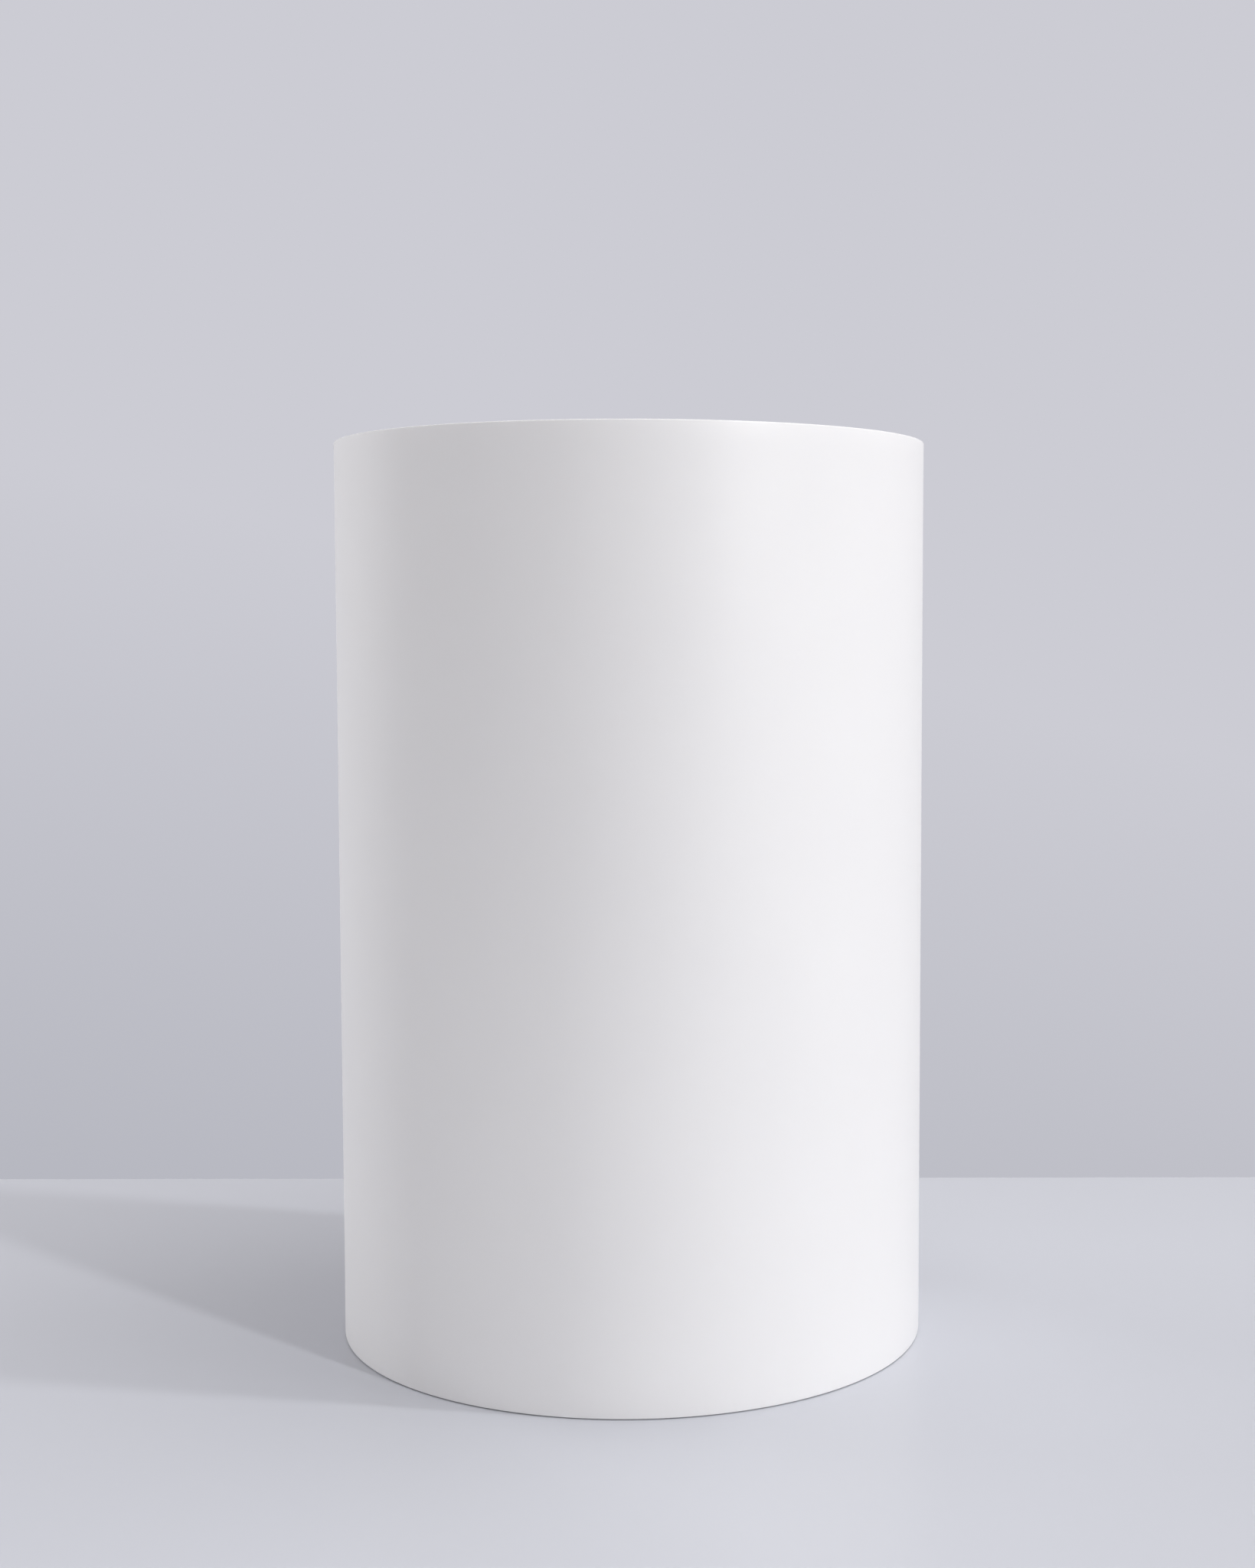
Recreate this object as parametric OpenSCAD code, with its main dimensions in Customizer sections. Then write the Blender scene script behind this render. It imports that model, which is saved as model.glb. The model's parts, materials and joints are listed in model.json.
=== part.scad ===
// Tall opaque white glass cylinder vase: a ground glass tube, a glass disc
// sealed into a seat in its lower end, and clear pads that lift it off the surface.
// Frame: +Z up, origin on the axis, at the surface that the vase stands on.

/* [Vase] */
// Outside diameter of the glass tube
outer_d = 350; // [180:1:400]
// Height from the standing surface to the rim
total_h = 532; // [270:1:620]
// Thickness of the tube's wall
wall_t = 6; // [5:0.5:10]
// Radius of the ground edges at the rim
rim_round = 0.5; // [0.3:0.1:1.8]
// Radius of the ground edges at the foot
foot_round = 0.4; // [0.3:0.1:1.2]

/* [Base] */
// Shadow gap between the tube's lower edge and the surface
foot_gap = 0.5; // [0.3:0.1:0.8]
// Thickness of the base disc
disc_t = 10; // [6:0.5:16]
// Width of the ground bevel on the disc's edges
disc_bevel = 0.8; // [0.4:0.1:1.5]
// Depth of the seat ground into the tube's bore to take the disc
seat_depth = 1.5; // [1:0.1:2]
// Thickness of the sealant between disc and seat
seal_gap = 0.5; // [0.3:0.1:0.5]
// Leg of the sealant's small bead in the corner above the disc
seal_bead = 0.6; // [0.6:0.1:0.8]
// Leg of the sealant's cove in the corner below the disc
seal_cove = 1.5; // [1:0.1:1.5]

/* [Pads] */
// Diameter of one pad
pad_d = 18; // [10:1:24]
// Thickness of one pad
pad_t = 3; // [2.5:0.5:4]
// Radius of a pad's lower edge
pad_round = 0.8; // [0.3:0.1:1.2]
// Number of pads
pad_count = 4; // [3:1:8]
// Share of the disc's radius at which the pads sit
pad_place = 0.84; // [0.5:0.01:0.86]

/* [Hidden] */
$fn = 180;
edge_fn = 48; // facets of the small edge circles
outer_r = outer_d / 2;
inner_r = outer_r - wall_t;
seat_r = inner_r + seat_depth;
disc_r = seat_r - seal_gap;
disc_z = pad_t; // underside of the disc
floor_z = disc_z + disc_t; // top of the disc, the vase's inner floor
seat_z = floor_z + seal_gap; // shoulder that rests on the disc through the sealant
cove = min(seal_cove, pad_t - foot_gap - foot_round); // it stays above the foot's rounded edge
pad_r = pad_d / 2;
pad_ring_r = disc_r * pad_place;

// One end of the tube's section: square at z_flat, rounded on both corners at z_round
module wall_end(r_in, r_out, z_flat, z_round, edge_r) {
    z_centre = z_round + (z_flat > z_round ? edge_r : -edge_r);
    translate([r_in, min(z_flat, z_centre)])
        square([r_out - r_in, abs(z_centre - z_flat)]);
    translate([r_in + edge_r, min(z_round, z_centre)])
        square([r_out - r_in - 2 * edge_r, edge_r]);
    for (r = [r_in + edge_r, r_out - edge_r])
        translate([r, z_centre]) circle(r = edge_r, $fn = edge_fn);
}

// The disc's section, with both its edges bevelled
module disc_section()
    polygon([
        [0, disc_z],
        [disc_r - disc_bevel, disc_z],
        [disc_r, disc_z + disc_bevel],
        [disc_r, floor_z - disc_bevel],
        [disc_r - disc_bevel, floor_z],
        [0, floor_z]
    ]);

// The sealant's section: it fills the joint, covers the disc's edges, and is wiped flat across both corners
module seal_section()
    polygon([
        [seat_r, disc_z - cove],
        [seat_r, seat_z],
        [inner_r, seat_z],
        [inner_r, floor_z + seal_bead],
        [inner_r - seal_bead, floor_z],
        [disc_r - disc_bevel, floor_z],
        [disc_r, floor_z - disc_bevel],
        [disc_r, disc_z + disc_bevel],
        [disc_r - disc_bevel, disc_z],
        [seat_r - cove, disc_z]
    ]);

// The tube: one wall with ground edges at the rim and foot, and the disc's seat inside the foot
module glass_wall() {
    color("white") rotate_extrude() {
        wall_end(inner_r, outer_r, seat_z, total_h, rim_round);
        wall_end(seat_r, outer_r, seat_z, foot_gap, foot_round);
    }
}

// The disc that closes the tube
module base_disc() {
    color("whitesmoke") rotate_extrude() disc_section();
}

// The sealant between disc and tube, with a bead above the disc and a cove below it
module base_seal() {
    color("gainsboro") rotate_extrude() seal_section();
}

// One pad, flat on top against the disc and rounded where it meets the surface
module foot_pad() {
    rotate_extrude($fn = 64) {
        translate([0, pad_round]) square([pad_r, pad_t - pad_round]);
        square([pad_r - pad_round, pad_round]);
        translate([pad_r - pad_round, pad_round]) circle(r = pad_round, $fn = edge_fn);
    }
}

// The pads, spaced evenly on one circle under the disc
module foot_pads() {
    color("silver") for (i = [0 : pad_count - 1])
        rotate(360 / pad_count * (i + 0.5)) translate([pad_ring_r, 0]) foot_pad();
}

glass_wall();
base_disc();
base_seal();
foot_pads();
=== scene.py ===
"""Looks of a tall cylinder vase of opaque white glass: a tube, a disc bonded into its foot, and pads."""
import json
import math

import bpy
from mathutils import Euler, Matrix, Vector, noise


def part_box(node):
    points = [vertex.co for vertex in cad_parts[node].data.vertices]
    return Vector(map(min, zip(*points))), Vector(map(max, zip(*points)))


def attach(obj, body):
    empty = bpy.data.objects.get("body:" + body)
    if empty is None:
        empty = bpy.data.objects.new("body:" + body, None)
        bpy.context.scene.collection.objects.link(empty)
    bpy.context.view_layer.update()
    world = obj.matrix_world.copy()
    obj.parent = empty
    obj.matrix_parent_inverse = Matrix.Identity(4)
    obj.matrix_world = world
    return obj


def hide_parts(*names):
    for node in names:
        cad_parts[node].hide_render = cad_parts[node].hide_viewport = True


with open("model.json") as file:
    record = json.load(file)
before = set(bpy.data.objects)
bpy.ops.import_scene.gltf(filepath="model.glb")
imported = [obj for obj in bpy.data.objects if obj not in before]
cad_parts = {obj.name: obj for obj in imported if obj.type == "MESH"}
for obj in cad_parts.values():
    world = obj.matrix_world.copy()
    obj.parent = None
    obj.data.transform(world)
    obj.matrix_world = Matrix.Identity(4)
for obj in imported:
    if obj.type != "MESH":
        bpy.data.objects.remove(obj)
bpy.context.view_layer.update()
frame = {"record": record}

MM = 0.001


# ------------------------------------------------------------------ sizes
def mount(name):
    return next(m for m in frame["record"]["mounts"] if m["name"] == name)


wall_low, wall_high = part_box("glass_wall")
disc_low, disc_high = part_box("base_disc")
seal_low, seal_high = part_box("base_seal")
_, pads_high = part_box("foot_pads")

# The tube
outer_r = wall_high.x
inner_r = mount("mouth")["dims"]["r_mm"] * MM
seat_r = seal_high.x
rim_z = wall_high.z
foot_z = wall_low.z
rim_round = 0.5 * MM
foot_round = 0.4 * MM
draw_depth = 0.18 * MM  # how far the drawn surface wanders inwards
draw_fade = 30 * MM  # and over what height that fades out at each end
draw_round, draw_up = 1.6, 7  # how quickly it changes round the tube, and up it
wall_turns = 360
flank_steps = 48

# The disc, and the silicone round it
disc_r = disc_high.x
disc_z = disc_low.z
floor_z = disc_high.z
disc_bevel = 0.8 * MM
arris = 0.15 * MM  # radius that grinding leaves on a bevel's corners
base_turns = 256
seat_z = floor_z + seat_r - disc_r
bead = seal_high.z - floor_z
cove = disc_z - seal_low.z
hairline = 0.02 * MM  # keeps the clear silicone's faces apart from the glass
tooling = 9  # how quickly the hand's unevenness changes round the ring
bead_slack, cove_slack = 0.15, 0.12  # the most that it takes off each, as a share of their height
seal_turns = 360

# The pads
pad_count = 4
pad_r = 9 * MM
pad_t = pads_high.z
pad_round = 0.8 * MM
pad_film = 0.25 * MM
pad_dish = 0.3 * MM
dish_shape = ((0, 1), (0.35, 0.75), (0.6, 0.2), (0.72, 0))  # shares of the pad's radius and of pad_dish
pad_turns = 72
pad_ring_r = math.hypot(pads_high.x - pad_r, pads_high.y - pad_r)

# The table top and the camera, in the vase's own frame
table_front_y, table_back_y = -2.4, 0.338
table_half_width = 2.4
table_t = 0.03
table_edge = 2 * MM
camera_place = (0.0384, -1.3084, 0.4247)
camera_pitch = 4.17  # degrees below level
camera_roll = -0.09  # degrees
camera_lens = 49.73
camera_shift = -0.0427

# The soft light, and the backdrop that is seen and mirrored
ambient_colour = (0.176, 0.160, 0.160)
backdrop_low, backdrop_high = (0.468, 0.474, 0.527), (0.604, 0.604, 0.658)
backdrop_up = (0.25, 0, 1)  # the way in which the backdrop grows lighter
backdrop_dark, backdrop_light = -0.32, 0  # how far that way it is darkest, and lightest


# ------------------------------------------------------------------ outlines and meshes
def arc(centre, radius, start, end, steps=8):
    """Points on an arc from start to end, in degrees, both ends included."""
    angles = [math.radians(start + (end - start) * i / steps) for i in range(steps + 1)]
    return [(centre[0] + radius * math.cos(a), centre[1] + radius * math.sin(a)) for a in angles]


def along(start, end, steps):
    """Points that divide a straight line, its ends left out."""
    return [
        tuple(a + (b - a) * i / steps for a, b in zip(start, end)) for i in range(1, steps)
    ]


def add_object(name, mesh):
    thing = bpy.data.objects.new(name, mesh)
    bpy.context.scene.collection.objects.link(thing)
    return thing


def lathe(name, stretches, turns, shape=None):
    """Turns a closed outline round the Z axis.

    stretches are (material, [(r, z), ...]) pairs that run anticlockwise round the solid. A face takes the
    material of the stretch in which it starts, and a point at r = 0 becomes one vertex on the axis.
    shape(r, angle, z), where it is given, says where a point really lies.
    """
    outline = [(r, z, material) for material, points in stretches for r, z in points]
    vertices, rings = [], []
    for r, z, _ in outline:
        angles = [2 * math.pi * k / turns for k in range(turns if r else 1)]
        rings.append([len(vertices) + k for k in range(len(angles))])
        for angle in angles:
            real_r, real_z = shape(r, angle, z) if shape else (r, z)
            vertices.append((real_r * math.cos(angle), real_r * math.sin(angle), real_z))
    faces, face_materials = [], []
    for i, (_, _, material) in enumerate(outline):
        ring, following = rings[i], rings[(i + 1) % len(rings)]
        if len(ring) == len(following) == 1:
            continue
        for k in range(turns):
            corners = [ring[k % len(ring)], ring[(k + 1) % len(ring)]]
            corners += [following[(k + 1) % len(following)], following[k % len(following)]]
            faces.append(list(dict.fromkeys(corners)))
            face_materials.append(material)
    mesh = bpy.data.meshes.new(name)
    mesh.from_pydata(vertices, [], faces)
    materials = list(dict.fromkeys(face_materials))
    for material in materials:
        mesh.materials.append(material)
    for face, material in zip(mesh.polygons, face_materials):
        face.material_index = materials.index(material)
    mesh.shade_smooth()
    mesh.set_sharp_from_angle(angle=math.radians(35))
    return add_object(name, mesh)


# ------------------------------------------------------------------ materials
pattern_low, pattern_high = 0.3, 0.7  # the stretch of a noise pattern that a colour or roughness spans


class Surface:
    """A Principled material, with short calls that add and join its nodes."""

    def __init__(self, name, **settings):
        self.material = bpy.data.materials.new(name)
        self.material.use_nodes = True
        self.nodes = self.material.node_tree.nodes
        self.shader = self.nodes["Principled BSDF"]
        for key, value in settings.items():
            self.shader.inputs[key.replace("_", " ")].default_value = value
        self.place = self.nodes.new("ShaderNodeTexCoord").outputs["Object"]

    def join(self, output, socket):
        self.material.node_tree.links.new(output, socket)

    def noise(self, size, detail=2.0, squeeze=(1, 1, 1)):
        """Noise with patches about size metres across. A squeeze under 1 draws them out along an axis."""
        mapping = self.nodes.new("ShaderNodeMapping")
        mapping.inputs["Scale"].default_value = squeeze
        self.join(self.place, mapping.inputs["Vector"])
        node = self.nodes.new("ShaderNodeTexNoise")
        node.inputs["Scale"].default_value = 1 / size
        node.inputs["Detail"].default_value = detail
        self.join(mapping.outputs["Vector"], node.inputs["Vector"])
        return node.outputs["Fac"]

    def colour(self, pattern, low, high):
        """Colours the surface from low to high as the pattern rises."""
        ramp = self.nodes.new("ShaderNodeValToRGB")
        ends = (pattern_low, pattern_high)
        for stop, position, colour in zip(ramp.color_ramp.elements, ends, (low, high)):
            stop.position = position
            stop.color = (*colour, 1)
        self.join(pattern, ramp.inputs["Fac"])
        self.join(ramp.outputs["Color"], self.shader.inputs["Base Color"])

    def roughness(self, pattern, low, high):
        """Sets the roughness from low to high as the pattern rises."""
        span = self.nodes.new("ShaderNodeMapRange")
        span.inputs["From Min"].default_value = pattern_low
        span.inputs["From Max"].default_value = pattern_high
        span.inputs["To Min"].default_value = low
        span.inputs["To Max"].default_value = high
        self.join(pattern, span.inputs["Value"])
        self.join(span.outputs["Result"], self.shader.inputs["Roughness"])

    def relief(self, *layers):
        """Bumps from (pattern, height in metres) pairs, each laid over the one before."""
        under = None
        for pattern, height in layers:
            bump = self.nodes.new("ShaderNodeBump")
            bump.inputs["Distance"].default_value = height
            self.join(pattern, bump.inputs["Height"])
            if under:
                self.join(under, bump.inputs["Normal"])
            under = bump.outputs["Normal"]
        self.join(under, self.shader.inputs["Normal"])


def opal_glass(name, scatter):
    """Opal glass, which light enters by a few millimetres. Scatter is the share of light that does."""
    surface = Surface(name, IOR=1.5, Subsurface_Weight=scatter, Subsurface_Scale=0.004)
    surface.shader.inputs["Subsurface Radius"].default_value = (1.0, 0.95, 0.9)
    return surface


def satin_glass():
    """The vase's outside: opal glass etched to an even satin, faintly drawn along its height."""
    surface = opal_glass("opal_glass_satin", 0.08)
    surface.colour(surface.noise(0.11, 3), (0.872, 0.868, 0.872), (0.888, 0.884, 0.886))
    surface.roughness(surface.noise(0.045, 5), 0.40, 0.48)
    streaks = surface.noise(0.012, 2, squeeze=(1, 1, 0.08))
    etching = surface.noise(0.0004)
    surface.relief((streaks, 0.01 * MM), (etching, 0.006 * MM))
    return surface.material


def gloss_glass():
    """The inside and the base: the same glass as it was formed, smooth and shiny."""
    surface = opal_glass("opal_glass_gloss", 0.08)
    surface.colour(surface.noise(0.11, 3), (0.872, 0.870, 0.868), (0.888, 0.886, 0.882))
    surface.roughness(surface.noise(0.03, 4), 0.07, 0.13)
    surface.relief((surface.noise(0.022), 0.03 * MM))
    return surface.material


def ground_glass():
    """The rim, the foot and the seat: ground, then polished until only a fine drag is left."""
    surface = opal_glass("opal_glass_ground", 0.12)
    surface.colour(surface.noise(0.003, 3), (0.872, 0.870, 0.868), (0.896, 0.894, 0.890))
    surface.roughness(surface.noise(0.0015, 3), 0.20, 0.32)
    surface.relief((surface.noise(0.0007, 3), 0.01 * MM))
    return surface.material


def clear_silicone():
    """Cured clear sealant, smoothed along by hand."""
    surface = Surface("clear_silicone", IOR=1.41, Transmission_Weight=0.55)
    surface.colour(surface.noise(0.008), (0.80, 0.82, 0.81), (0.86, 0.87, 0.86))
    surface.roughness(surface.noise(0.004), 0.12, 0.22)
    surface.relief((surface.noise(0.004), 0.04 * MM))
    return surface.material


def clear_pad():
    """Soft clear polyurethane with a fine moulded grain."""
    surface = Surface("clear_pad", IOR=1.49, Transmission_Weight=0.8)
    surface.colour(surface.noise(0.0025), (0.84, 0.87, 0.87), (0.90, 0.92, 0.92))
    surface.roughness(surface.noise(0.001, 3), 0.22, 0.34)
    surface.relief((surface.noise(0.0005), 0.003 * MM))
    return surface.material


def table_paint():
    """The table top under the vase: pale, half-gloss paint."""
    surface = Surface("table_paint", IOR=1.5)
    surface.shader.inputs["Base Color"].default_value = (0.577, 0.592, 0.641, 1)
    surface.shader.inputs["Roughness"].default_value = 0.3
    surface.shader.inputs["Specular IOR Level"].default_value = 0.25
    return surface.material


satin, gloss, ground = satin_glass(), gloss_glass(), ground_glass()


# ------------------------------------------------------------------ pieces
def belongs(piece, node):
    """Hangs the piece under the root body, and hides the CAD node that it stands for."""
    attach(piece, "root")
    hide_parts(node)


def drawn(r, angle, z):
    """The faint unevenness of a drawn tube, always inwards, and none at its ends."""
    ends = min(z - seat_z, rim_z - z) / draw_fade
    place = Vector((draw_round * math.cos(angle), draw_round * math.sin(angle), draw_up * z))
    wander = noise.noise(place)
    depth = draw_depth * min(1, max(0, ends)) * (0.5 + 0.5 * wander)
    return r - depth, z


def vase_wall():
    """The tube: satin outside, ground rim and foot, and a ground seat for the disc."""
    rim_c = rim_z - rim_round
    foot_c = foot_z + foot_round
    outside = [(outer_r, foot_c), *along((outer_r, foot_c), (outer_r, rim_c), flank_steps)]
    rim = arc((outer_r - rim_round, rim_c), rim_round, 0, 90)
    rim += arc((inner_r + rim_round, rim_c), rim_round, 90, 180)[:-1]
    inside = [(inner_r, rim_c), *along((inner_r, rim_c), (inner_r, seat_z), flank_steps)]
    foot = [(inner_r, seat_z), (seat_r, seat_z)]
    foot += arc((seat_r + foot_round, foot_c), foot_round, 180, 270)
    foot += arc((outer_r - foot_round, foot_c), foot_round, 270, 360)[:-1]
    stretches = [(satin, outside), (ground, rim), (gloss, inside), (ground, foot)]
    belongs(lathe("vase_wall", stretches, wall_turns, drawn), "glass_wall")


def vase_base():
    """The disc, with its two ground bevels."""
    corners = []
    low, high = disc_z, floor_z
    bend = 45  # degrees by which the outline turns at each corner
    half_bend = math.radians(bend / 2)
    away = arris / math.cos(half_bend)
    for r, z, start in (
        (disc_r - disc_bevel, low, 270),
        (disc_r, low + disc_bevel, 315),
        (disc_r, high - disc_bevel, 0),
        (disc_r - disc_bevel, high, 45),
    ):
        middle = math.radians(start) + half_bend
        centre = (r - away * math.cos(middle), z - away * math.sin(middle))
        corners += arc(centre, arris, start, start + bend, 3)
    rings = [disc_r * share for share in (0.25, 0.5, 0.75, 0.95)]
    underside = [(0, low)] + [(r, low) for r in rings]
    top = [(r, high) for r in reversed(rings)] + [(0, high)]
    stretches = [(gloss, underside), (ground, corners), (gloss, top)]
    belongs(lathe("vase_base", stretches, base_turns), "base_disc")


def vase_seal():
    """The silicone between disc and tube, its bead and its cove tooled by hand."""
    out, top = seat_r - hairline, seat_z - hairline
    inner, under = inner_r - hairline, disc_z - hairline
    edge, floor = disc_r + hairline, floor_z + hairline

    def tooled(r, angle, z):
        uneven = noise.noise(Vector((tooling * math.cos(angle), tooling * math.sin(angle), 3)))
        if z > floor:
            return r, z - bead_slack * max(0, uneven) * (z - floor)
        if z < under:
            return r, z + cove_slack * max(0, uneven) * (under - z)
        return r, z

    cove_arc = arc((out - cove, disc_z - cove), cove, 90, 0)
    bead_arc = arc((inner - bead, floor_z + bead), bead, 0, -90)
    section = [*cove_arc, (out, top), (inner, top), *bead_arc[:-1]]
    section += [(inner - bead, floor), (disc_r - disc_bevel, floor), (edge, floor_z - disc_bevel)]
    section += [(edge, disc_z + disc_bevel), (disc_r - disc_bevel, under)]
    ring = lathe("vase_seal", [(clear_silicone(), section)], seal_turns, tooled)
    belongs(ring, "base_seal")


def foot_pad(number, finish):
    """One clear pad: dished below, rounded at its lower edge, with its adhesive film on top."""
    foot_r = pad_r - pad_round
    section = [(out * pad_r, up * pad_dish) for out, up in dish_shape]
    section += arc((foot_r, pad_round), pad_round, -90, 0)
    section += [(pad_r, pad_t - pad_film), (pad_r - pad_film, pad_t - pad_film)]
    section += [(pad_r - pad_film, pad_t), (0, pad_t)]
    pad = lathe(f"foot_pad_{number}", [(finish, section)], pad_turns)
    angle = 2 * math.pi * (number - 0.5) / pad_count
    place = Vector((math.cos(angle), math.sin(angle), 0)) * pad_ring_r
    pad.data.transform(Matrix.Translation(place))
    belongs(pad, "foot_pads")


vase_wall()
vase_base()
vase_seal()
pad_finish = clear_pad()
for number in range(1, pad_count + 1):
    foot_pad(number, pad_finish)


# ------------------------------------------------------------------ stage, light and camera
def table_top():
    size = Vector((2 * table_half_width, table_back_y - table_front_y, table_t))
    centre = Vector((0, (table_back_y + table_front_y) / 2, -table_t / 2))
    sides = (-0.5, 0.5)
    corners = [Vector((x, y, z)) for z in sides for y in sides for x in sides]
    faces = [(0, 2, 3, 1), (4, 5, 7, 6), (0, 1, 5, 4), (2, 6, 7, 3), (0, 4, 6, 2), (1, 3, 7, 5)]
    mesh = bpy.data.meshes.new("table_top")
    mesh.from_pydata([centre + c * size for c in corners], [], faces)
    mesh.materials.append(table_paint())
    table = add_object("table_top", mesh)
    edge = table.modifiers.new("edge", "BEVEL")
    edge.width = table_edge
    edge.segments = 3


def lamp(name, azimuth, elevation, distance, size, power, shines=True):
    """A square area light that faces the vase's middle, in degrees, metres and watts.

    Azimuth is from +X towards +Y. A light that doesn't shine lights the scene, but shows in no reflection.
    """
    data = bpy.data.lights.new(name, "AREA")
    data.size = size
    data.energy = power
    light = add_object(name, data)
    light.visible_glossy = shines
    tilt = Euler((math.radians(90 - elevation), 0, math.radians(azimuth + 90)))
    light.rotation_euler = tilt
    light.location = tilt.to_matrix() @ Vector((0, 0, distance)) + Vector((0, 0, rim_z / 2))


def studio_world():
    """Plain soft light. What looks at it or mirrors it sees a pale backdrop, darker low down."""
    world = bpy.data.worlds.new("studio")
    bpy.context.scene.world = world
    world.use_nodes = True
    nodes, join = world.node_tree.nodes, world.node_tree.links.new
    soft = nodes["Background"]
    soft.inputs["Color"].default_value = (*ambient_colour, 1)
    direction = nodes.new("ShaderNodeTexCoord").outputs["Generated"]
    lean = nodes.new("ShaderNodeVectorMath")
    lean.operation = "DOT_PRODUCT"
    lean.inputs[1].default_value = backdrop_up
    join(direction, lean.inputs[0])
    span = nodes.new("ShaderNodeMapRange")
    span.inputs["From Min"].default_value = backdrop_dark
    span.inputs["From Max"].default_value = backdrop_light
    join(lean.outputs["Value"], span.inputs["Value"])
    ramp = nodes.new("ShaderNodeValToRGB")
    for stop, colour in zip(ramp.color_ramp.elements, (backdrop_low, backdrop_high)):
        stop.color = (*colour, 1)
    join(span.outputs["Result"], ramp.inputs["Fac"])
    backdrop = nodes.new("ShaderNodeBackground")
    join(ramp.outputs["Color"], backdrop.inputs["Color"])
    choice = nodes.new("ShaderNodeMixShader")
    ray = nodes.new("ShaderNodeLightPath").outputs
    seen = nodes.new("ShaderNodeMath")
    seen.operation = "MAXIMUM"
    join(ray["Is Camera Ray"], seen.inputs[0])
    join(ray["Is Glossy Ray"], seen.inputs[1])
    join(seen.outputs["Value"], choice.inputs["Fac"])
    join(soft.outputs["Background"], choice.inputs[1])
    join(backdrop.outputs["Background"], choice.inputs[2])
    join(choice.outputs["Shader"], nodes["World Output"].inputs["Surface"])


def camera():
    data = bpy.data.cameras.new("camera")
    data.lens = camera_lens
    data.shift_x = camera_shift
    view = add_object("camera", data)
    pitch = Matrix.Rotation(math.radians(90 - camera_pitch), 4, "X")
    roll = Matrix.Rotation(math.radians(camera_roll), 4, "Z")
    view.matrix_world = Matrix.Translation(camera_place) @ pitch @ roll
    bpy.context.scene.camera = view


table_top()
lamp("key_right", -12.4, 38, 7, 0.39, 113)
lamp("key_front_right", -44.3, 20, 7, 0.39, 202)
lamp("overhead", 0, 75, 2.4, 1.6, 34.3, shines=False)
lamp("left_back", 155, 20, 2.6, 1.4, 21.6, shines=False)
lamp("left", 185, 12, 2.6, 1.6, 12.4, shines=False)
lamp("front_left", 240, 15, 2.6, 1.6, 4, shines=False)
studio_world()
camera()
bpy.context.scene.view_settings.view_transform = "Standard"
